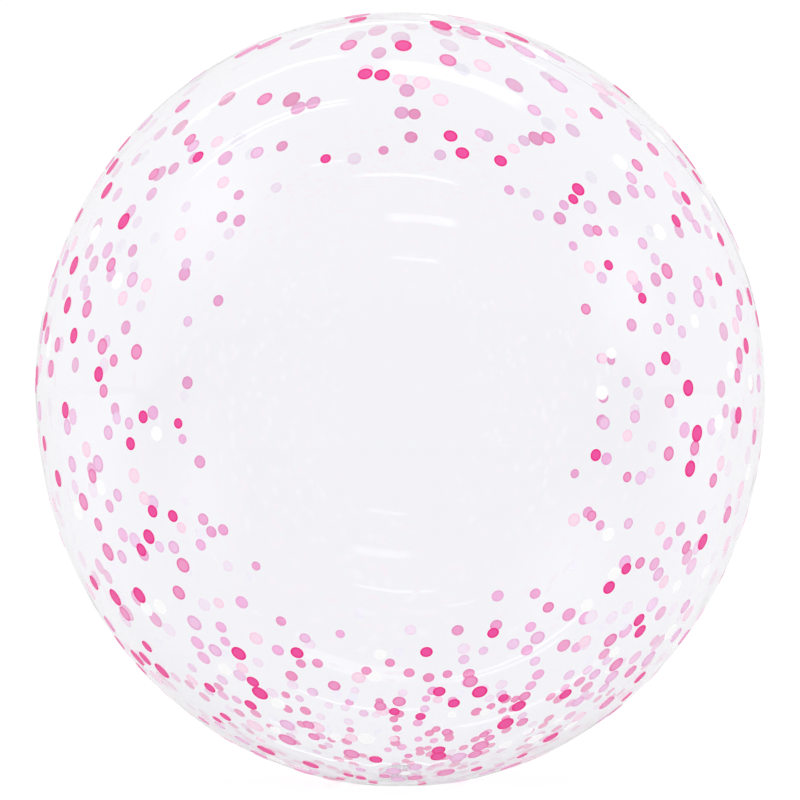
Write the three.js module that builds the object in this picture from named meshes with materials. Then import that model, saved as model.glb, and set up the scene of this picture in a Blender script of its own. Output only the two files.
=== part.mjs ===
// Clear bubble balloon: one sealed, air-filled film envelope, a little blunter at the crown than below.
// It rests on a small flat spot at its neck end, and the gathered neck is tucked up inside that spot.
// Millimetres, +Z up, origin on the floor under the middle of the flat spot.
import * as THREE from "three";

// Envelope, as inflated
const HEIGHT = 610; // flat spot to crown
const WIDTH = 577; // across the widest level
const WIDEST_LEVEL = 311; // height of the widest level above the floor

// Neck: the film drawn together, sealed and cut off short
const NECK_RADIUS = 6.5; // at its waist
const NECK_END_FLARE = 2; // the cut end is this much wider all round
const NECK_LENGTH = 10.5; // cut end to the pocket's ceiling
const NECK_ROOT_RADIUS = 2; // fillet where the neck meets the ceiling

// Pocket that the neck is tucked up into, and the flat spot round it, where the film is pressed flat
const NECK_FLOOR_GAP = 2.5; // the cut end stays this far above the floor
const NECK_SIDE_GAP = 8.5; // between the cut end's rim and the pocket's wall
const POCKET_LIP_RADIUS = 3; // rolled edge between the pocket and the flat spot
const POCKET_SHOULDER = 0.8; // the wall turns into the ceiling at this share of the depth
const FLAT_RING_WIDTH = 16; // flat film from the lip outwards

// Folds of gathered film, which run out from the neck and fade up the envelope
const FOLDS = 16;
const FOLD_DEPTH = 1.6;
const FOLD_REACH = 75; // how far past the flat spot they run, along the radius
const FOLD_REACH_LIMIT = 0.9; // they always fade out within this share of the half width
const NECK_FOLD_DEPTH = 1.2;

// Facets
const STEPS_PER_FOLD = 6;
const ENVELOPE_RINGS_BELOW = 13; // rings between the folds and the widest level
const ENVELOPE_RINGS_ABOVE = 14; // rings between the widest level and the crown
const FOLD_RINGS = 6;
const ARC_STEPS = 3;

const neckEndRadius = NECK_RADIUS + NECK_END_FLARE;
const pocketDepth = NECK_FLOOR_GAP + NECK_LENGTH;
const pocketRadius = neckEndRadius + NECK_SIDE_GAP;
const lipRadius = pocketRadius + POCKET_LIP_RADIUS; // where the lip touches the floor
const flatSpotRadius = lipRadius + FLAT_RING_WIDTH;

const halfWidth = WIDTH / 2;
const riseAbove = HEIGHT - WIDEST_LEVEL;
// The lower half is part of an ellipse that would end a little under the floor if nothing flattened it.
const dropBelow = WIDEST_LEVEL / Math.sqrt(1 - (flatSpotRadius / halfWidth) ** 2);
const foldsEndRadius = Math.min(flatSpotRadius + FOLD_REACH, halfWidth * FOLD_REACH_LIMIT);

// Height of the lower half's film at a distance from the axis.
function lowerHeight(radius) {
  return WIDEST_LEVEL - dropBelow * Math.sqrt(1 - (radius / halfWidth) ** 2);
}

// Points of an arc about (x, y), from one angle to another, in degrees.
function arcPoints(x, y, radius, from, to) {
  return Array.from({ length: ARC_STEPS + 1 }, (_, i) => {
    const angle = THREE.MathUtils.degToRad(from + ((to - from) * i) / ARC_STEPS);
    return new THREE.Vector2(x + radius * Math.cos(angle), y + radius * Math.sin(angle));
  });
}

// The neck's outline, from the middle of its cut end up to the pocket's ceiling.
function neckOutline() {
  const waistHeight = (NECK_FLOOR_GAP + pocketDepth) / 2;
  const rootRadius = NECK_RADIUS + NECK_ROOT_RADIUS;
  const rootHeight = pocketDepth - NECK_ROOT_RADIUS;
  return [
    new THREE.Vector2(0, NECK_FLOOR_GAP),
    new THREE.Vector2(neckEndRadius, NECK_FLOOR_GAP),
    new THREE.Vector2(NECK_RADIUS, waistHeight),
    ...arcPoints(rootRadius, rootHeight, NECK_ROOT_RADIUS, 180, 90),
  ];
}

// The pocket's wall, which falls from its ceiling to the rolled lip and ends level with the floor.
function pocketOutline() {
  const shoulderRadius = (NECK_RADIUS + NECK_ROOT_RADIUS + pocketRadius) / 2;
  const shoulder = new THREE.Vector2(shoulderRadius, pocketDepth * POCKET_SHOULDER);
  return [shoulder, ...arcPoints(lipRadius, POCKET_LIP_RADIUS, POCKET_LIP_RADIUS, 180, 270)];
}

// A point of the envelope's outline, by its angle from straight down (0) or straight up (180 degrees).
function envelopePoint(angle) {
  const semiHeight = angle < Math.PI / 2 ? dropBelow : riseAbove;
  return new THREE.Vector2(halfWidth * Math.sin(angle), WIDEST_LEVEL - semiHeight * Math.cos(angle));
}

// The envelope's outline, from the edge of the flat spot round to the crown.
function envelopeOutline() {
  const points = [new THREE.Vector2(flatSpotRadius, 0)];
  for (let i = 1; i <= FOLD_RINGS; i++) {
    const radius = THREE.MathUtils.lerp(flatSpotRadius, foldsEndRadius, i / FOLD_RINGS);
    points.push(new THREE.Vector2(radius, lowerHeight(radius)));
  }
  const startAngle = Math.asin(foldsEndRadius / halfWidth);
  for (let i = 1; i <= ENVELOPE_RINGS_BELOW; i++) {
    points.push(envelopePoint(THREE.MathUtils.lerp(startAngle, Math.PI / 2, i / ENVELOPE_RINGS_BELOW)));
  }
  for (let i = 1; i < ENVELOPE_RINGS_ABOVE; i++) {
    points.push(envelopePoint(THREE.MathUtils.lerp(Math.PI / 2, Math.PI, i / ENVELOPE_RINGS_ABOVE)));
  }
  points.push(new THREE.Vector2(0, HEIGHT));
  return points;
}

// How deep the folds are at a point of the outline: none on the flat spot, most just outside it.
function foldDepthAt(radius, height) {
  const past = (radius - flatSpotRadius) / (foldsEndRadius - flatSpotRadius);
  if (past <= 0 || past >= 1 || height > WIDEST_LEVEL) return 0;
  const rise = THREE.MathUtils.smoothstep(past, 0, 1 / FOLD_RINGS);
  return FOLD_DEPTH * rise * (1 - past) ** 2;
}

// Presses the folds into the revolved film: up into the envelope outside the flat spot, and in towards
// the axis on the neck.
function pressFolds(geometry) {
  const position = geometry.getAttribute("position");
  const point = new THREE.Vector3();
  for (let i = 0; i < position.count; i++) {
    point.fromBufferAttribute(position, i);
    const radius = Math.hypot(point.x, point.y);
    const angle = Math.atan2(point.y, point.x);
    const share = (1 - Math.cos(FOLDS * angle)) / 2;
    point.z += foldDepthAt(radius, point.z) * share;
    const onNeck = radius > NECK_RADIUS / 2 && radius <= neckEndRadius;
    if (onNeck && point.z < pocketDepth) {
      const pressed = (radius - NECK_FOLD_DEPTH * share) / radius;
      point.x *= pressed;
      point.y *= pressed;
    }
    position.setXYZ(i, point.x, point.y, point.z);
  }
  return geometry;
}

function filmMaterial() {
  return new THREE.MeshStandardMaterial({
    color: 0xf3f3f8,
    roughness: 0.08,
    metalness: 0,
    transparent: true,
    opacity: 0.3,
  });
}

function filmEnvelope() {
  const outline = [...neckOutline(), ...pocketOutline(), ...envelopeOutline()];
  const geometry = new THREE.LatheGeometry(outline, FOLDS * STEPS_PER_FOLD);
  geometry.rotateX(Math.PI / 2); // the outline's height becomes Z
  const mesh = new THREE.Mesh(pressFolds(geometry), filmMaterial());
  mesh.name = "film_envelope";
  return mesh;
}

const balloon = new THREE.Group();
balloon.add(filmEnvelope());

export default balloon;
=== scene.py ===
"""Clear bubble balloon: a sealed, air-filled envelope of clear film, printed with confetti dots.

Everything is in metres, +Z up, with the front towards -Y.
"""

import math
import random

import bmesh
import bpy
from mathutils import Matrix, Vector


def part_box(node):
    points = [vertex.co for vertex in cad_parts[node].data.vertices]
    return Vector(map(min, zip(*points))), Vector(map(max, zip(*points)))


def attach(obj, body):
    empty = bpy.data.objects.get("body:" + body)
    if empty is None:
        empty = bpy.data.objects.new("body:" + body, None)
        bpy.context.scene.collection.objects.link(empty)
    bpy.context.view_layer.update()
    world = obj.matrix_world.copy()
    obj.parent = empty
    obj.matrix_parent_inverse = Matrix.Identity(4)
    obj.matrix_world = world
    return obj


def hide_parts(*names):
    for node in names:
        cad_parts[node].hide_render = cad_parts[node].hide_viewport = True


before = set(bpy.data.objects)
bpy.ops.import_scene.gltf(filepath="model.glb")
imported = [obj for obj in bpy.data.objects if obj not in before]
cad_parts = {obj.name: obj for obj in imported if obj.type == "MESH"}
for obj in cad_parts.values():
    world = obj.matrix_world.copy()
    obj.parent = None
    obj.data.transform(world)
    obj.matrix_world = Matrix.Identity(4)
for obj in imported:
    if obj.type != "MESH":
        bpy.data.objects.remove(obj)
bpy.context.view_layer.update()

MM = 0.001

# Envelope, from its solid: half its width, and its height from flat spot to crown
BOX_LOW, BOX_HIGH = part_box("film_envelope")
HALF_WIDTH = (BOX_HIGH.x - BOX_LOW.x) / 2
HEIGHT = BOX_HIGH.z
WIDEST_LEVEL = 311 * MM

# Neck, its pocket and the flat spot, as in the solid
NECK_RADIUS = 6.5 * MM
NECK_END_RADIUS = 8.5 * MM
NECK_END_HEIGHT = 2.5 * MM
NECK_ROOT = 2 * MM
POCKET_DEPTH = 13 * MM
NECK_FLARE = 1.2 * MM  # how far above the cut end the neck's flare steepens
NECK_FLARE_SHARE = 0.7  # share of its widening that it has by there
POCKET_RADIUS = 17 * MM
POCKET_LIP = 3 * MM
POCKET_LIP_STEPS = 4
POCKET_LEAN = 0.8 * MM  # how far the pocket's wall leans in at its middle
POCKET_MIDDLE = 0.55  # height of that middle, as a share of the depth
POCKET_SHOULDER = 0.86  # height at which the wall turns into the ceiling
NECK_ROOT_BEVEL = 0.3  # where the neck's root is at its most rounded, as a share of NECK_ROOT
NECK_CAP = 0.8  # share of the cut end's radius at which its seal begins
FLAT_SPOT_RADIUS = 36 * MM

# Film
FILM_THICKNESS = 0.4 * MM  # thicker than real film, so that light bends through it cleanly
FILM_STEPS_AROUND = 256
FILM_RINGS = 104
FOLDS = 16
FOLD_DEPTH = 1.6 * MM
FOLD_REACH = 75 * MM
FOLD_START = FOLD_REACH / 6  # over this distance from the flat spot they rise to their depth
CREASES = 64  # finer than the folds
CREASE_DEPTH = 0.35 * MM
CREASE_REACH = 45 * MM
NECK_FOLD_DEPTH = 1.2 * MM

# Weld between the front and the back sheet of film
WELD_WIDTH = 1.2 * MM
WELD_HEIGHT = 0.1 * MM
WELD_CLEARANCE = 0.03 * MM
WELD_TURN = 0.06  # how far its right side comes forward, as a share of the half width
WELD_LEAN = 0.27  # how far its top leans forward
WELD_BOW = 0.28  # how much more it leans at the upper right than at the upper left
WELD_STEPS = 1800
WELD_SHOULDER = 0.8  # how high the bead is a quarter of its width from either side, as a share
WELD_END = 2 * MM  # how far above the floor it ends
NICK_ANGLE = math.radians(46.5)  # a small kink in it, at the upper right
NICK_LENGTH = 9 * MM
NICK_DEPTH = 3.5 * MM

# Printed dots
DOTS = 1000
DOT_SIDES = 18
DOT_DIAMETERS = (8.0 * MM, 11.0 * MM)
DOT_EDGE = 0.28  # share of a dot's radius that its denser edge takes
INK_THICKNESS = 0.05 * MM
INK_LAYER_STEP = 1.4 * INK_THICKNESS  # how much higher each ink lies than the one printed before it
PRINT_CLEARANCE = 0.06 * MM  # between the film and the first ink
PRINT_SEED = 163
DOT_OVERLAPS = 0.15  # share of the dots that may overlap another one
# Least distance of two dots, in their own sizes: where they may overlap, and where they may not
DOT_SPACING = (0.35, 0.85)
SIDE_GROWTH = 0.45  # how much larger dots are at the balloon's sides and ends than in its middle
NECK_SHRINK = (0.1, 0.45)  # how much smaller dots are at the neck: the large ones in front, and the others
NECK_LARGE_SHARE = 0.65  # share of the dots in front that stay large there
NECK_HOT_PINK = 0.4  # share of the dots on the far side of the neck that are made hot pink
CROWN_LENGTHENING = 1.1  # how much longer upright dots are at the very crown
NECK_LENGTHENING = 0.5
WINDOW_MIDDLE = -0.02  # of the clear window, sideways, all in shares of the film's half width and height
WINDOW_WIDTH = 0.53
WINDOW_HEIGHT = 0.6
WINDOW_EDGE = (0.93, 1.22)  # distances, in windows, between which the print begins
NECK_CROWDING = (4.6, 1.0)  # how much denser dots are at the neck, on the far side and in front
CROWN_THINNING = 0.35  # how much sparser they are at the crown
# Between which heights these changes come in, in shares of the film's half height, and how far from its axis
CROWDED_HEIGHTS = (-0.6, -0.95)
SHRUNK_HEIGHTS = (-0.55, -0.95)
HOT_PINK_HEIGHTS = (-0.7, -0.95)
THINNED_HEIGHTS = (0.1, 0.7)
GROWN_DISTANCES = (0.55, 1.0)
LENGTHENING_POWER = 6  # the higher, the closer to the ends it stays
PLACES_PER_DOT = 8  # random places tried for each that is kept, where the print has its usual density
PAINTED_SHADE_START = 150 * MM  # how far above or below the widest level the painted shade in the dots' undersides begins; it is full by the next length
PAINTED_SHADE_END = 290 * MM
SLIVER_ROWS = 6  # rows of dots that the gathering has drawn into slivers on the neck
SLIVER_SPACING = 1.3 * MM
SLIVER_GAPS = 0.25  # share of the places in them that stay clear
SLIVER_LENGTHS = (0.8 * MM, 1.3 * MM)
SLIVER_WIDTHS = (0.9 * MM, 1.4 * MM)
SLIVER_STRAY = 0.15  # how far off a fold's crest they may be, as a share of the fold

# The neck's outline, from its root down to its cut end, as radius and height
NECK_OUTLINE = (
    (NECK_RADIUS, POCKET_DEPTH - NECK_ROOT),
    (NECK_RADIUS, (POCKET_DEPTH + NECK_END_HEIGHT) / 2),
    (NECK_RADIUS + NECK_FLARE_SHARE * (NECK_END_RADIUS - NECK_RADIUS), NECK_END_HEIGHT + NECK_FLARE),
    (NECK_END_RADIUS, NECK_END_HEIGHT),
)

RISE_ABOVE = HEIGHT - WIDEST_LEVEL
DROP_BELOW = WIDEST_LEVEL / math.sqrt(1 - (FLAT_SPOT_RADIUS / HALF_WIDTH) ** 2)
HALVES_BLEND = 0.3  # share of their heights over which the two halves blend, either side of the widest level


def smooth_step(low, high, value):
    """0 up to low, 1 from high on, and smooth between. High may be the smaller number."""
    share = min(max((value - low) / (high - low), 0), 1)
    return share * share * (3 - 2 * share)


def semi_height_at(unit_height):
    """Half the height of the ellipsoid that the film follows here, by the height on a ball 1 in radius.

    The lower ellipsoid turns smoothly into the upper one.
    """
    return DROP_BELOW + (RISE_ABOVE - DROP_BELOW) * smooth_step(-HALVES_BLEND, HALVES_BLEND, unit_height)


def on_film(direction, lift=0.0):
    """The point of the film's outer face in this direction from the middle, raised by lift."""
    unit = direction.normalized()
    semi_height = semi_height_at(unit.z)
    point = Vector((unit.x * HALF_WIDTH, unit.y * HALF_WIDTH, WIDEST_LEVEL + unit.z * semi_height))
    outward = Vector((unit.x / HALF_WIDTH, unit.y / HALF_WIDTH, unit.z / semi_height)).normalized()
    return point + outward * lift, outward


def towards(point):
    """The direction from the middle that on_film takes to come back to this point."""
    rise = point.z - WIDEST_LEVEL
    semi_height = (RISE_ABOVE + DROP_BELOW) / 2
    for _ in range(4):
        way = Vector((point.x / HALF_WIDTH, point.y / HALF_WIDTH, rise / semi_height))
        semi_height = semi_height_at(way.normalized().z)
    return way


# Materials


def linear(hex_colour):
    """An sRGB hex colour as the linear RGBA that shaders take."""
    channels = [int(hex_colour[i : i + 2], 16) / 255 for i in (1, 3, 5)]
    return [c / 12.92 if c <= 0.04045 else ((c + 0.055) / 1.055) ** 2.4 for c in channels] + [1.0]


def add_node(tree, kind, settings=None, inputs=None):
    """Adds a node with its settings, and its inputs as values or as links from other nodes' outputs."""
    node = tree.nodes.new(kind)
    for name, value in (settings or {}).items():
        setattr(node, name, value)
    for name, value in (inputs or {}).items():
        if isinstance(value, bpy.types.NodeSocket):
            tree.links.new(value, node.inputs[name])
        else:
            node.inputs[name].default_value = value
    return node


def new_material(name):
    """An empty node material, and its tree."""
    material = bpy.data.materials.new(name)
    material.use_nodes = True
    material.node_tree.nodes.clear()
    return material, material.node_tree


def finish_material(tree, shader):
    add_node(tree, "ShaderNodeOutputMaterial", inputs={"Surface": shader.outputs[0]})


def clear_film_material():
    """Blown clear PVC film: glass-clear and glossy, with a faint lavender cast where light passes through it.

    Its slow waviness, 40 mm from crest to crest, is what makes the lights in it swim a little.
    """
    material, tree = new_material("clear_pvc_film")
    place = add_node(tree, "ShaderNodeTexCoord")
    waves = add_node(
        tree,
        "ShaderNodeTexNoise",
        inputs={"Vector": place.outputs["Object"], "Scale": 1 / (40 * MM), "Detail": 1.0},
    )
    bump = add_node(
        tree,
        "ShaderNodeBump",
        inputs={"Height": waves.outputs["Fac"], "Strength": 0.25, "Distance": 0.3 * MM},
    )
    shader = add_node(
        tree,
        "ShaderNodeBsdfPrincipled",
        inputs={
            "Base Color": linear("#FBFBFD"),
            "Roughness": 0.0,
            "IOR": 1.5,
            "Transmission Weight": 1.0,
            "Normal": bump.outputs["Normal"],
        },
    )
    finish_material(tree, shader)
    return material


def weld_material():
    """Heat-welded PVC: the same film melted into a bead, a little frosted by the weld's fine ribs."""
    material, tree = new_material("welded_pvc")
    place = add_node(tree, "ShaderNodeTexCoord")
    ribs = add_node(
        tree,
        "ShaderNodeTexNoise",
        inputs={"Vector": place.outputs["Object"], "Scale": 1 / (1.2 * MM), "Detail": 2.0},
    )
    bump = add_node(
        tree,
        "ShaderNodeBump",
        inputs={"Height": ribs.outputs["Fac"], "Strength": 0.3, "Distance": 0.1 * MM},
    )
    shader = add_node(
        tree,
        "ShaderNodeBsdfPrincipled",
        inputs={
            "Base Color": linear("#FAFAFC"),
            "Roughness": 0.1,
            "IOR": 1.2,
            "Transmission Weight": 1.0,
            "Normal": bump.outputs["Normal"],
        },
    )
    finish_material(tree, shader)
    return material


def mix_colours(tree, share, first, second, **settings):
    """A colour between two others, each a value or a node's output, by this share of the second."""
    return add_node(
        tree,
        "ShaderNodeMix",
        {"data_type": "RGBA", **settings},
        {"Factor": share, "A": first, "B": second},
    ).outputs["Result"]


def ink_material(name, colours_at_widest, painted_shade_colours):
    """Screen-printed vinyl ink: a thin satin layer that has run thicker, and so deeper, along its edge.

    Body and edge colours are given at the widest level and at the crown and the neck, and they blend by
    height between. Where the two differ, on the undersides, the deeper ones at the crown and the neck are
    painted shade.
    The mesh of the screen leaves a grain, drawn at 0.8 mm, coarser than real, so that it shows.
    """
    material, tree = new_material(name)
    place = add_node(tree, "ShaderNodeTexCoord")
    grain = add_node(
        tree,
        "ShaderNodeTexNoise",
        inputs={"Vector": place.outputs["Object"], "Scale": 1 / (0.8 * MM), "Detail": 1.0},
    )
    radius = add_node(tree, "ShaderNodeAttribute", {"attribute_name": "dot_radius"})
    ring = add_node(
        tree,
        "ShaderNodeMapRange",
        {"interpolation_type": "SMOOTHSTEP"},
        {"Value": radius.outputs["Fac"], "From Min": 1 - DOT_EDGE * 1.3, "From Max": 1 - DOT_EDGE * 0.7},
    )
    height = add_node(tree, "ShaderNodeSeparateXYZ", inputs={"Vector": place.outputs["Object"]})
    rise = add_node(
        tree,
        "ShaderNodeMath",
        {"operation": "SUBTRACT"},
        {0: height.outputs["Z"], 1: WIDEST_LEVEL},
    )
    distance = add_node(tree, "ShaderNodeMath", {"operation": "ABSOLUTE"}, {0: rise.outputs[0]})
    # Painted shade: the undersides' deeper colours at the crown and the neck, blended in by height
    painted_shade_by_height = add_node(
        tree,
        "ShaderNodeMapRange",
        {"interpolation_type": "SMOOTHSTEP"},
        {"Value": distance.outputs[0], "From Min": PAINTED_SHADE_START, "From Max": PAINTED_SHADE_END},
    )
    coats = [
        mix_colours(tree, ring.outputs["Result"], linear(body), linear(edge))
        for body, edge in (colours_at_widest, painted_shade_colours)
    ]
    colour = mix_colours(tree, painted_shade_by_height.outputs["Result"], *coats)
    grain_colour = mix_colours(tree, 0.2, colour, grain.outputs["Fac"], blend_type="SOFT_LIGHT")
    shader = add_node(
        tree,
        "ShaderNodeBsdfPrincipled",
        inputs={
            "Base Color": grain_colour,
            "Roughness": 0.45,
            "Specular IOR Level": 0.2,
        },
    )
    finish_material(tree, shader)
    return material


# Pieces


def new_piece(name, bm, materials, smooth=True):
    """A piece of the balloon from a finished bmesh, riding on the balloon's one body."""
    mesh = bpy.data.meshes.new(name)
    bm.to_mesh(mesh)
    bm.free()
    for face in mesh.polygons:
        face.use_smooth = smooth
    for material in materials:
        mesh.materials.append(material)
    piece = bpy.data.objects.new(name, mesh)
    bpy.context.scene.collection.objects.link(piece)
    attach(piece, "root")
    return piece


def fold_shift(point):
    """How far the gathered folds and creases press the film up at this point outside the flat spot."""
    radius = math.hypot(point.x, point.y)
    past = radius - FLAT_SPOT_RADIUS
    if past <= 0 or point.z > WIDEST_LEVEL:
        return 0.0
    angle = math.atan2(point.y, point.x)
    start = smooth_step(0, FOLD_START, past)
    shift = 0.0
    for count, depth, reach in ((FOLDS, FOLD_DEPTH, FOLD_REACH), (CREASES, CREASE_DEPTH, CREASE_REACH)):
        fade = max(0, 1 - past / reach) ** 2
        shift += depth * start * fade * (1 - math.cos(count * angle)) / 2
    return shift


def next_ring(bm, edges, radius, height):
    """Extrudes an open round edge to the next radius and height, and returns the new edge."""
    old_radius = max(math.hypot(v.co.x, v.co.y) for e in edges for v in e.verts)
    old_height = edges[0].verts[0].co.z
    made = bmesh.ops.extrude_edge_only(bm, edges=edges)["geom"]
    verts = [v for v in made if isinstance(v, bmesh.types.BMVert)]
    scale = radius / old_radius
    bmesh.ops.scale(bm, vec=(scale, scale, 1), verts=verts)
    bmesh.ops.translate(bm, vec=(0, 0, height - old_height), verts=verts)
    return [e for e in made if isinstance(e, bmesh.types.BMEdge) and all(v in verts for v in e.verts)]


def neck_radius(height):
    """The neck's radius at this height, on the crests of its folds."""
    for (upper_radius, upper), (lower_radius, lower) in zip(NECK_OUTLINE, NECK_OUTLINE[1:]):
        if height >= lower:
            return lower_radius + (upper_radius - lower_radius) * (height - lower) / (upper - lower)
    return NECK_END_RADIUS


def neck_rings():
    """Radius and height of each ring, from the flat spot's inner edge up the pocket and down the neck."""
    rings = []
    for i in range(POCKET_LIP_STEPS + 1):
        angle = math.radians(90 * i / POCKET_LIP_STEPS)
        radius = POCKET_RADIUS + POCKET_LIP * (1 - math.sin(angle))
        rings.append((radius, POCKET_LIP * (1 - math.cos(angle))))
    shoulder = (NECK_RADIUS + NECK_ROOT + POCKET_RADIUS) / 2
    rings += [
        (POCKET_RADIUS - POCKET_LEAN, POCKET_DEPTH * POCKET_MIDDLE),
        (shoulder, POCKET_DEPTH * POCKET_SHOULDER),
        (NECK_RADIUS + NECK_ROOT, POCKET_DEPTH),
        (NECK_RADIUS + NECK_ROOT * NECK_ROOT_BEVEL, POCKET_DEPTH - NECK_ROOT * NECK_ROOT_BEVEL),
        *NECK_OUTLINE,
        (NECK_END_RADIUS * NECK_CAP, NECK_END_HEIGHT),
    ]
    return rings


def neck_press(angle):
    """How deep the neck's folds are at this angle round it."""
    return NECK_FOLD_DEPTH * (1 - math.cos(FOLDS * angle)) / 2


def clear_film():
    """The film: a ball stretched to the envelope, cut at the floor, and drawn in to the neck."""
    bm = bmesh.new()
    bmesh.ops.create_uvsphere(bm, u_segments=FILM_STEPS_AROUND, v_segments=FILM_RINGS, radius=1.0)
    for vert in bm.verts:
        vert.co, _ = on_film(vert.co)
    bmesh.ops.bisect_plane(
        bm,
        geom=bm.verts[:] + bm.edges[:] + bm.faces[:],
        plane_co=(0, 0, 0),
        plane_no=(0, 0, 1),
        clear_inner=True,
    )
    for vert in bm.verts:
        vert.co.z += fold_shift(vert.co)
    edges = [e for e in bm.edges if e.is_boundary]
    for radius, height in neck_rings():
        edges = next_ring(bm, edges, radius, height)
    neck_end = bmesh.ops.contextual_create(bm, geom=edges)["faces"]
    bmesh.ops.poke(bm, faces=neck_end)
    for vert in bm.verts:
        radius = math.hypot(vert.co.x, vert.co.y)
        if NECK_RADIUS / 2 < radius <= NECK_END_RADIUS * 1.001 and vert.co.z < POCKET_DEPTH:
            pressed = neck_press(math.atan2(vert.co.y, vert.co.x))
            vert.co.x *= 1 - pressed / radius
            vert.co.y *= 1 - pressed / radius
    bmesh.ops.remove_doubles(bm, verts=bm.verts[:], dist=0.001 * MM)
    bmesh.ops.recalc_face_normals(bm, faces=bm.faces[:])
    piece = new_piece("clear_film", bm, [clear_film_material()])
    wall = piece.modifiers.new("wall", "SOLIDIFY")
    wall.thickness = FILM_THICKNESS
    wall.offset = -1
    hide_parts("film_envelope")
    return piece


def weld_direction(angle):
    """Which way the weld lies from the middle of the balloon, at an angle round it from the right."""
    across, up = math.cos(angle), math.sin(angle)
    lean = max(up, 0) * (WELD_LEAN + WELD_BOW * across * up)
    return Vector((across, -WELD_TURN * across - lean, up)).normalized()


def nick_shift(angle):
    """How far the weld swings aside at its nick: once to either side."""
    along = (angle - NICK_ANGLE) * HALF_WIDTH / NICK_LENGTH
    if abs(along) > 0.5:
        return 0.0
    return NICK_DEPTH * math.sin(2 * math.pi * along)


def film_weld():
    """The weld's bead: a low rounded rib that runs round the film and ends beside the flat spot."""
    bm = bmesh.new()
    profile = (
        (-WELD_WIDTH / 2, 0.0),
        (-WELD_WIDTH / 4, WELD_HEIGHT * WELD_SHOULDER),
        (WELD_WIDTH / 4, WELD_HEIGHT * WELD_SHOULDER),
        (WELD_WIDTH / 2, 0.0),
    )
    bmesh.ops.create_circle(bm, segments=WELD_STEPS, radius=1.0)
    bm.verts.ensure_lookup_table()
    angles = [math.atan2(v.co.y, v.co.x) for v in bm.verts]
    edges = bm.edges[:]
    first = edges
    rings = [bm.verts[:]]
    for _ in profile[1:]:
        made = bmesh.ops.extrude_edge_only(bm, edges=edges)["geom"]
        verts = [v for v in made if isinstance(v, bmesh.types.BMVert)]
        edges = [e for e in made if isinstance(e, bmesh.types.BMEdge) and all(v in verts for v in e.verts)]
        rings.append(sorted(verts, key=lambda v: math.atan2(v.co.y, v.co.x)))
    rings[0] = sorted(rings[0], key=lambda v: math.atan2(v.co.y, v.co.x))
    bmesh.ops.bridge_loops(bm, edges=first + edges)
    angles.sort()
    for ring, (aside, rise) in zip(rings, profile):
        for vert, angle in zip(ring, angles):
            point, outward = on_film(weld_direction(angle))
            ahead, _ = on_film(weld_direction(angle + 0.01))
            sideways = outward.cross(ahead - point).normalized()
            shift = aside + nick_shift(angle)
            vert.co, _ = on_film(towards(point + sideways * shift), rise + WELD_CLEARANCE)
    bmesh.ops.bisect_plane(
        bm,
        geom=bm.verts[:] + bm.edges[:] + bm.faces[:],
        plane_co=(0, 0, WELD_END),
        plane_no=(0, 0, 1),
        clear_inner=True,
    )
    bmesh.ops.holes_fill(bm, edges=[e for e in bm.edges if e.is_boundary])
    bmesh.ops.recalc_face_normals(bm, faces=bm.faces[:])
    return new_piece("film_weld", bm, [weld_material()])


# Print


def window_distance(direction):
    """How far a place is from the clear window's middle, front or back: below 1 it is inside the window."""
    return math.hypot((direction.x - WINDOW_MIDDLE) / WINDOW_WIDTH, direction.z / WINDOW_HEIGHT)


def print_density(direction):
    """The share of the places here that get a dot: none in the window, most near the neck."""
    share = smooth_step(*WINDOW_EDGE, window_distance(direction))
    neck_crowding = NECK_CROWDING[0] if direction.y > 0 else NECK_CROWDING[1]
    crowding = 1 + neck_crowding * smooth_step(*CROWDED_HEIGHTS, direction.z)
    crown = 1 - CROWN_THINNING * smooth_step(*THINNED_HEIGHTS, direction.z)
    return share * crowding * crown / PLACES_PER_DOT


def dot_size(direction, draw):
    """A dot's upright length and its width: the film stretches more away from the window and towards both
    ends.
    """
    diameter = draw.uniform(*DOT_DIAMETERS)
    diameter *= 1 + SIDE_GROWTH * smooth_step(*GROWN_DISTANCES, math.hypot(direction.x, direction.z))
    large = direction.y < 0 and draw.random() < NECK_LARGE_SHARE
    shrink = NECK_SHRINK[0] if large else NECK_SHRINK[1]
    diameter *= 1 - shrink * smooth_step(*SHRUNK_HEIGHTS, direction.z)
    lengthening = CROWN_LENGTHENING if direction.z > 0 else NECK_LENGTHENING
    return diameter * (1 + lengthening * abs(direction.z) ** LENGTHENING_POWER), diameter


def laid_on_film(direction, length, width):
    """A function that takes a point of a flat round dot, 1 across, and gives its place on the film."""
    centre, outward = on_film(direction)
    across = Vector((0, 0, 1)).cross(outward).normalized()
    upright = outward.cross(across)
    place = Matrix.Translation(centre) @ Matrix((upright, across, outward)).transposed().to_4x4()

    def lay(along, aside, lift):
        return on_film(towards(place @ Vector((along * length, aside * width, 0))), lift)[0]

    return lay


def laid_on_neck(angle, height, length, width):
    """The same for a dot that the gathering has drawn into a sliver on the neck."""

    def lay(along, aside, lift):
        here = angle + aside * width / NECK_RADIUS
        rise = height + along * length
        radius = neck_radius(rise) - neck_press(here) + lift
        return Vector((radius * math.cos(here), radius * math.sin(here), rise))

    return lay


def place_slivers(spots):
    """Adds the slivers on the neck, row by row on the crests of its folds, in the deeper inks."""
    draw = random.Random(PRINT_SEED)
    for row in range(SLIVER_ROWS):
        height = NECK_END_HEIGHT + (row + 0.8) * SLIVER_SPACING
        for fold in range(FOLDS):
            if draw.random() < SLIVER_GAPS:
                continue
            angle = 2 * math.pi * (fold + draw.uniform(-SLIVER_STRAY, SLIVER_STRAY)) / FOLDS
            length = draw.uniform(*SLIVER_LENGTHS)
            width = draw.uniform(*SLIVER_WIDTHS)
            ink = draw.choice(("orchid", "bubblegum_pink", "hot_pink", "hot_pink"))
            spots[ink].append(laid_on_neck(angle, height, length, width))


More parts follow.
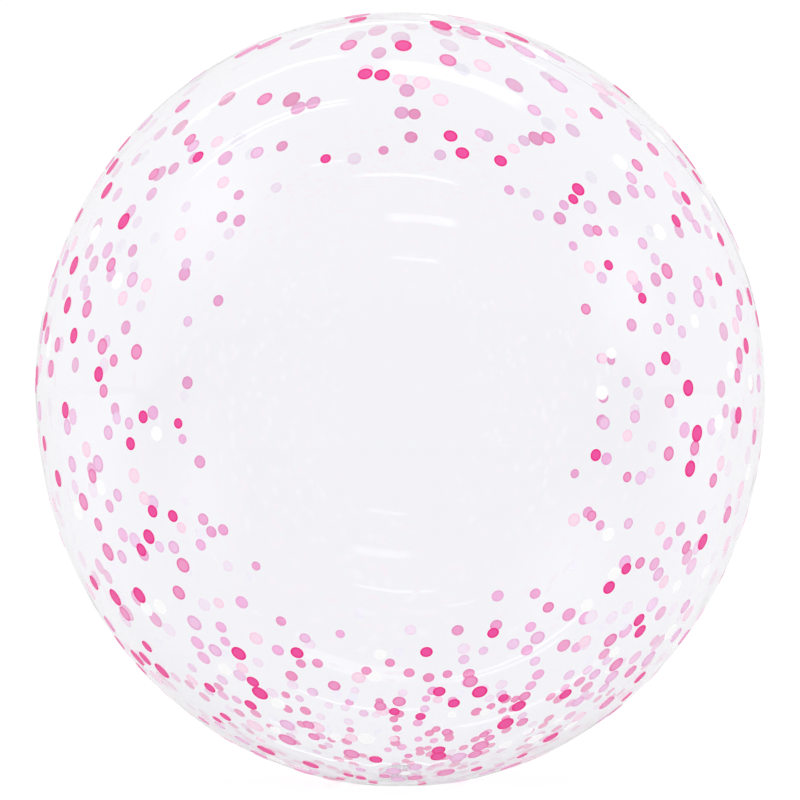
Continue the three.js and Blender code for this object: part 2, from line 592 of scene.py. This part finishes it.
def place_dots(shares):
    """Places for all the dots, as {ink: [function that lays one, ...]}, from a fixed seed."""
    draw = random.Random(PRINT_SEED)
    placed = []
    spots = {ink: [] for ink in shares}
    while len(placed) < DOTS:
        rise = draw.uniform(-1, 1)
        turn = draw.uniform(0, 2 * math.pi)
        across = math.sqrt(1 - rise * rise)
        direction = Vector((across * math.cos(turn), across * math.sin(turn), rise))
        if draw.random() > print_density(direction):
            continue
        centre, _ = on_film(direction)
        length, width = dot_size(direction, draw)
        if math.hypot(centre.x, centre.y) < FLAT_SPOT_RADIUS + length / 2 and centre.z < WIDEST_LEVEL:
            continue
        closeness = DOT_SPACING[0] if draw.random() < DOT_OVERLAPS else DOT_SPACING[1]
        radius = (length + width) / 4
        crowded = any(
            (centre - other).length < closeness * (radius + other_radius)
            for other, other_radius in placed
        )
        if crowded:
            continue
        placed.append((centre, radius))
        ink = draw.choices(list(shares), shares.values())[0]
        hot = direction.y > 0 and draw.random() < NECK_HOT_PINK * smooth_step(*HOT_PINK_HEIGHTS, direction.z)
        if hot:
            ink = "hot_pink"
        spots[ink].append(laid_on_film(direction, length, width))
    place_slivers(spots)
    return spots


def ink_dots(name, spots, lift, materials):
    """One ink's dots: each a thin closed disc that follows the film, with an outside face and an underside,
    whose paler colours are painted backlight.
    """
    bm = bmesh.new()
    radius_layer = bm.verts.layers.float.new("dot_radius")
    for lay in spots:
        rim = bmesh.ops.create_circle(bm, cap_ends=True, segments=DOT_SIDES, radius=0.5)["verts"]
        top = rim[0].link_faces[0]
        copied = bmesh.ops.duplicate(bm, geom=[top])["geom"]
        underside = next(g for g in copied if isinstance(g, bmesh.types.BMFace))
        underside.material_index = 1
        rims = list(rim) + list(underside.verts)
        top_middle = bmesh.ops.poke(bm, faces=[top])["verts"]
        under_middle = bmesh.ops.poke(bm, faces=[underside])["verts"]
        for verts, rise, radius in ((rims, 0.5, 1.0), (top_middle, 1.0, 0.0), (under_middle, 0.0, 0.0)):
            for vert in verts:
                vert.co = lay(vert.co.x, vert.co.y, lift + rise * INK_THICKNESS)
                vert[radius_layer] = radius
    bmesh.ops.remove_doubles(bm, verts=bm.verts[:], dist=0.002 * MM)
    bmesh.ops.recalc_face_normals(bm, faces=bm.faces[:])
    return new_piece(name, bm, materials, smooth=False)


# Each ink's share of the dots, its body and edge colours as seen from outside, and those of its underside, as
# seen from
# inside through the film: at the widest level, and at the crown and neck. The underside colours are painted
# light: paler than the outside's, for light shining through the thin ink from behind, and deeper at the crown
# and neck as painted shade.
INKS = {
    "white": (0.15, ("#F6F6F6", "#F8F8F8"), ("#FFFFFF", "#FFFFFF"), ("#F9FAFC", "#F9FAFC")),
    "blush": (0.14, ("#F4D7E7", "#F4CDE2"), ("#FFF6FB", "#FFEFF8"), ("#FCEAF4", "#F7E0EE")),
    "orchid": (0.18, ("#EBBFE0", "#E3ACD3"), ("#FFDAF4", "#F8CCEA"), ("#F5CEE8", "#ECBDDA")),
    "bubblegum_pink": (0.24, ("#EB96C4", "#E47AAF"), ("#FFC3E9", "#F8B3DF"), ("#FAABD8", "#F297CA")),
    "hot_pink": (0.29, ("#E94C9B", "#E72485"), ("#FAB0DB", "#F39ACB"), ("#F778B6", "#EF60A2")),
}


def printed_dots():
    """All the inks, one over the other in the order that they are printed in."""
    spots = place_dots({ink: facts[0] for ink, facts in INKS.items()})
    for layer, (ink, (_, outside, colours_at_widest, painted_shade_colours)) in enumerate(INKS.items()):
        materials = [
            ink_material(f"{ink}_vinyl_ink", outside, outside),
            # The underside's colours: paler than the outside's as painted light through the thin ink from
            # behind, and deeper at the crown and neck as painted shade.
            ink_material(f"{ink}_vinyl_ink_underside_painted_backlight", colours_at_widest, painted_shade_colours),
        ]
        lift = PRINT_CLEARANCE + layer * INK_LAYER_STEP
        ink_dots(f"{ink}_dots", spots[ink], lift, materials)


# Stage

CENTRE = Vector((0, 0, WIDEST_LEVEL))
# Each lamp: its two ends, in metres from the balloon's middle, its width in metres, how bright it is, and
# the share of its half length and half width over which it fades out
LAMPS = {
    "left_window": ((-2.11, 1.16, 3.43), (-3.35, -2.03, 1.49), 3.4, 0.5, 1.0),
    "right_window": ((3.06, 0.20, 2.98), (3.30, -1.60, -0.10), 2.4, 0.45, 1.0),
    "overhead_softbox": ((-0.12, 0.20, 1.10), (0.62, 0.15, 1.24), 0.17, 0.65, 0.35),
    "front_bar": ((-0.25, -1.92, 2.21), (0.85, -1.92, 2.14), 0.16, 0.85, 0.35),
    "front_strip_high": ((-0.52, -1.08, 2.08), (0.66, -1.14, 2.01), 0.05, 1.15, 0.35),
    "front_strip_low": ((-0.14, -1.93, 1.43), (0.49, -1.92, 1.36), 0.05, 0.9, 0.35),
    "front_left_strip": ((-0.92, -0.76, 2.08), (-0.53, -0.86, 2.18), 0.04, 0.9, 0.35),
    "left_strip_high": ((-1.2, 0.6, 7.9), (-5.9, 1.4, 5.2), 0.18, 1.2, 0.35),
    "left_strip_low": ((-1.2, 0.8, 7.9), (-5.2, 1.7, 5.9), 0.18, 1.1, 0.35),
    "back_left_strip": ((-1.0, 4.0, 6.8), (-4.6, 4.6, 4.7), 0.3, 0.8, 0.35),
    "back_strip": ((-0.9, 2.4, 7.6), (3.2, 2.5, 6.9), 0.16, 1.2, 0.35),
    "back_strip_low": ((-1.6, 6.4, 4.6), (2.0, 6.7, 3.8), 0.2, 1.6, 0.35),
    "back_right_strip": ((2.1, 5.4, 5.5), (2.6, 5.4, 5.3), 0.2, 1.2, 0.35),
}


def lamp(name, start, end, breadth, radiance, fade):
    """A long lamp with soft edges that faces the balloon, between two places beside it."""
    ends = [CENTRE + Vector(place) for place in (start, end)]
    middle = (ends[0] + ends[1]) / 2
    along = (ends[1] - ends[0]).normalized()
    back = (middle - CENTRE).normalized()
    back = (back - along * back.dot(along)).normalized()
    light = bpy.data.lights.new(name, "AREA")
    light.shape = "RECTANGLE"
    light.size = (ends[1] - ends[0]).length
    light.size_y = breadth
    light.energy = radiance * math.pi * light.size * light.size_y
    light.use_nodes = True
    tree = light.node_tree
    tree.nodes.clear()
    place = add_node(tree, "ShaderNodeNewGeometry")
    parts = add_node(tree, "ShaderNodeSeparateXYZ", inputs={"Vector": place.outputs["Parametric"]})
    fades = []
    for axis in "XY":
        aside = add_node(
            tree,
            "ShaderNodeMath",
            {"operation": "SUBTRACT"},
            {0: parts.outputs[axis], 1: 0.5},
        )
        distance = add_node(tree, "ShaderNodeMath", {"operation": "ABSOLUTE"}, {0: aside.outputs[0]})
        fades.append(
            add_node(
                tree,
                "ShaderNodeMapRange",
                {"interpolation_type": "SMOOTHSTEP"},
                {
                    "Value": distance.outputs[0],
                    "From Min": 0.5 - fade / 2,
                    "From Max": 0.5,
                    "To Min": 1.0,
                    "To Max": 0.0,
                },
            )
        )
    strength = add_node(
        tree,
        "ShaderNodeMath",
        {"operation": "MULTIPLY"},
        {0: fades[0].outputs["Result"], 1: fades[1].outputs["Result"]},
    )
    glow = add_node(tree, "ShaderNodeEmission", inputs={"Strength": strength.outputs[0]})
    add_node(tree, "ShaderNodeOutputLight", inputs={"Surface": glow.outputs[0]})
    holder = bpy.data.objects.new(name, light)
    turned = Matrix((along, back.cross(along), back)).transposed().to_4x4()
    holder.matrix_world = Matrix.Translation(middle) @ turned
    holder.visible_camera = False
    holder.visible_diffuse = False
    bpy.context.scene.collection.objects.link(holder)


def seen_mirrored(tree):
    """1 where the camera sees the studio mirrored, and 0 where it sees it direct or is only lit by it."""
    path = add_node(tree, "ShaderNodeLightPath")
    direct = add_node(
        tree,
        "ShaderNodeMath",
        {"operation": "LESS_THAN"},
        {0: path.outputs["Diffuse Depth"], 1: 0.5},
    )
    mirrored = add_node(
        tree,
        "ShaderNodeMath",
        {"operation": "GREATER_THAN"},
        {0: path.outputs["Glossy Depth"], 1: 0.5},
    )
    both = add_node(
        tree,
        "ShaderNodeMath",
        {"operation": "MULTIPLY"},
        {0: direct.outputs[0], 1: mirrored.outputs[0]},
    )
    return both.outputs[0]


def dimmer_in_front(tree, place, near, far):
    """How bright the studio is mirrored: MIRRORED_FRONT at near on the way back, MIRRORED_BACK at far."""
    parts = add_node(tree, "ShaderNodeSeparateXYZ", inputs={"Vector": place})
    tone = add_node(
        tree,
        "ShaderNodeMapRange",
        {"interpolation_type": "SMOOTHSTEP"},
        {
            "Value": parts.outputs["Y"],
            "From Min": near,
            "From Max": far,
            "To Min": MIRRORED_FRONT,
            "To Max": MIRRORED_BACK,
        },
    )
    return tone.outputs["Result"]


STUDIO_WHITE = 1.04  # how bright the studio is where the camera sees it direct or through the film
STUDIO_LIGHT = 1.15  # how bright it is as the light that falls on the print and the floor
MIRRORED_FRONT = 0.5  # how bright it is mirrored, on the camera's side and behind the balloon
MIRRORED_BACK = 0.95
SKY_TURNS = (-0.3, 0.75)  # where the one turns into the other, by how far back the mirrored way points
FLOOR_TURNS = (-0.62, 0.38)  # and by how many metres back the floor's place lies
FLOOR_GLOW = 0.75  # share of the floor's white that it gives off itself


def studio():
    """A white studio all round. What is mirrored of it, in the film, is dimmer on the camera's side."""
    world = bpy.data.worlds.new("studio")
    bpy.context.scene.world = world
    world.use_nodes = True
    tree = world.node_tree
    tree.nodes.clear()
    way = add_node(tree, "ShaderNodeTexCoord")
    path = add_node(tree, "ShaderNodeLightPath")
    unmirrored = add_node(
        tree,
        "ShaderNodeMapRange",
        inputs={"Value": path.outputs["Diffuse Depth"], "To Min": STUDIO_WHITE, "To Max": STUDIO_LIGHT},
    )
    light = add_node(
        tree,
        "ShaderNodeMix",
        {"data_type": "FLOAT"},
        {
            "Factor": seen_mirrored(tree),
            "A": unmirrored.outputs["Result"],
            "B": dimmer_in_front(tree, way.outputs["Generated"], *SKY_TURNS),
        },
    )
    sky = add_node(
        tree,
        "ShaderNodeBackground",
        inputs={"Color": linear("#FFFFFF"), "Strength": light.outputs["Result"]},
    )
    add_node(tree, "ShaderNodeOutputWorld", inputs={"Surface": sky.outputs[0]})


def floor():
    """A plain white light table, mirrored dimmer on the camera's side as the rest of the studio is."""
    bm = bmesh.new()
    bmesh.ops.create_circle(bm, cap_ends=True, segments=64, radius=30.0)
    bmesh.ops.translate(bm, vec=(0, 0, -0.5 * MM), verts=bm.verts[:])
    mesh = bpy.data.meshes.new("floor")
    bm.to_mesh(mesh)
    bm.free()
    material, tree = new_material("white_sweep")
    place = add_node(tree, "ShaderNodeTexCoord")
    tone = dimmer_in_front(tree, place.outputs["Object"], *FLOOR_TURNS)
    grey = add_node(tree, "ShaderNodeCombineColor", inputs={"Red": tone, "Green": tone, "Blue": tone})
    white = [STUDIO_WHITE] * 3 + [1.0]
    colour = add_node(
        tree,
        "ShaderNodeMix",
        {"data_type": "RGBA"},
        {"Factor": seen_mirrored(tree), "A": white, "B": grey.outputs[0]},
    )
    diffuse = add_node(
        tree,
        "ShaderNodeVectorMath",
        {"operation": "SCALE"},
        {"Vector": colour.outputs["Result"], "Scale": (1 - FLOOR_GLOW) / STUDIO_LIGHT},
    )
    surface = add_node(tree, "ShaderNodeBsdfDiffuse", inputs={"Color": diffuse.outputs[0]})
    glow = add_node(
        tree,
        "ShaderNodeEmission",
        inputs={"Color": colour.outputs["Result"], "Strength": FLOOR_GLOW},
    )
    shader = add_node(tree, "ShaderNodeAddShader", inputs={0: surface.outputs[0], 1: glow.outputs[0]})
    finish_material(tree, shader)
    mesh.materials.append(material)
    plane = bpy.data.objects.new("floor", mesh)
    bpy.context.scene.collection.objects.link(plane)


# The camera is level, at 4 m, with its middle as high as the picture's middle is on the balloon
CAMERA_DISTANCE = 4.0
CAMERA_HEIGHT = 0.3034
PICTURE_WIDTH = 634.3 * MM  # what the picture spans across the balloon's middle


def camera():
    data = bpy.data.cameras.new("camera")
    data.sensor_width = 36
    data.lens = data.sensor_width * CAMERA_DISTANCE / PICTURE_WIDTH
    holder = bpy.data.objects.new("camera", data)
    holder.location = (0, -CAMERA_DISTANCE, CAMERA_HEIGHT)
    holder.rotation_euler = (math.radians(90), 0, 0)
    bpy.context.scene.collection.objects.link(holder)
    bpy.context.scene.camera = holder


clear_film()
film_weld()
printed_dots()
floor()
studio()
for lamp_name, lamp_facts in LAMPS.items():
    lamp(lamp_name, *lamp_facts)
camera()

scene = bpy.context.scene
scene.view_settings.view_transform = "Standard"
scene.cycles.max_bounces = 24
scene.cycles.transmission_bounces = 24
scene.cycles.glossy_bounces = 24
scene.cycles.transparent_max_bounces = 16
scene.cycles.blur_glossy = 0.0
